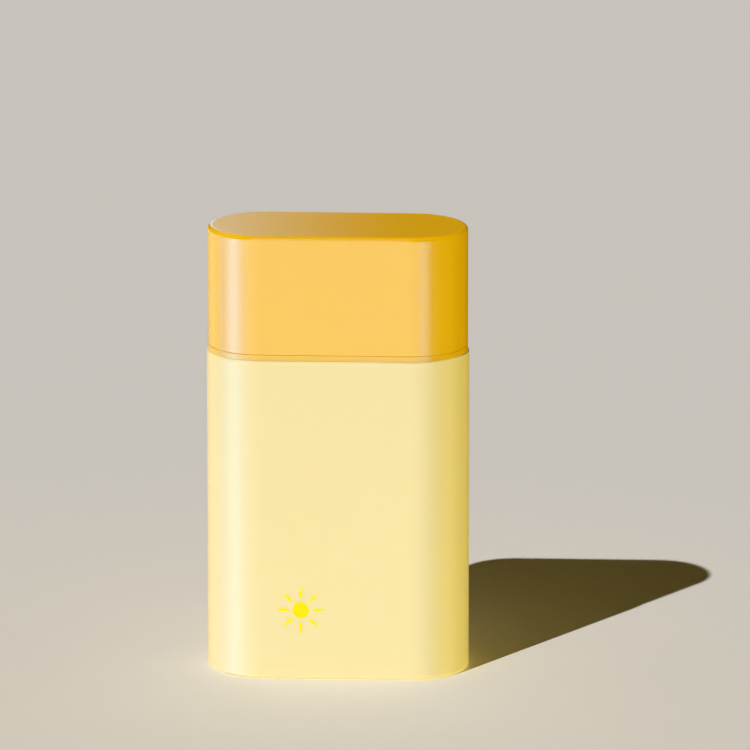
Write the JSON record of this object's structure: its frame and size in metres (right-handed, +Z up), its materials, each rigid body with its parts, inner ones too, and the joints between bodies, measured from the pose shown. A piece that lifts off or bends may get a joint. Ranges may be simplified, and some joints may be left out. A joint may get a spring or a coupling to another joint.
{
  "type": "squeeze bottle",
  "caption": "Oblong pocket squeeze bottle with a snap-fit collar, a plug nozzle with a tapered spout, and a pull-off overcap that seals the spout.",
  "frame": {"origin": "middle of the base, on the surface that the bottle stands on", "axes": "+Z up along the height, +X to the right along the width, +Y from the flat front to the flat back"},
  "size_m": [0.05, 0.0222, 0.0866],
  "materials": {
    "bottle_plastic": "satin pale yellow, slightly translucent",
    "collar_plastic": "gloss orange",
    "cap_plastic": "gloss orange",
    "nozzle_plastic": "natural white, satin",
    "seal_plastic": "natural white, satin"
  },
  "bodies": {
    "bottle": {"squeeze_bottle": "bottle_plastic", "shoulder_collar": "collar_plastic", "nozzle_plug": "nozzle_plastic"},
    "cap": {"outer_cap": "cap_plastic", "cap_seal_insert": "seal_plastic"}
  },
  "joints": [
    {"name": "cap_pull", "type": "slide", "parent": "bottle", "child": "cap", "axis": [0, 0, 1], "range_m": [0, 0.02]}
  ]
}
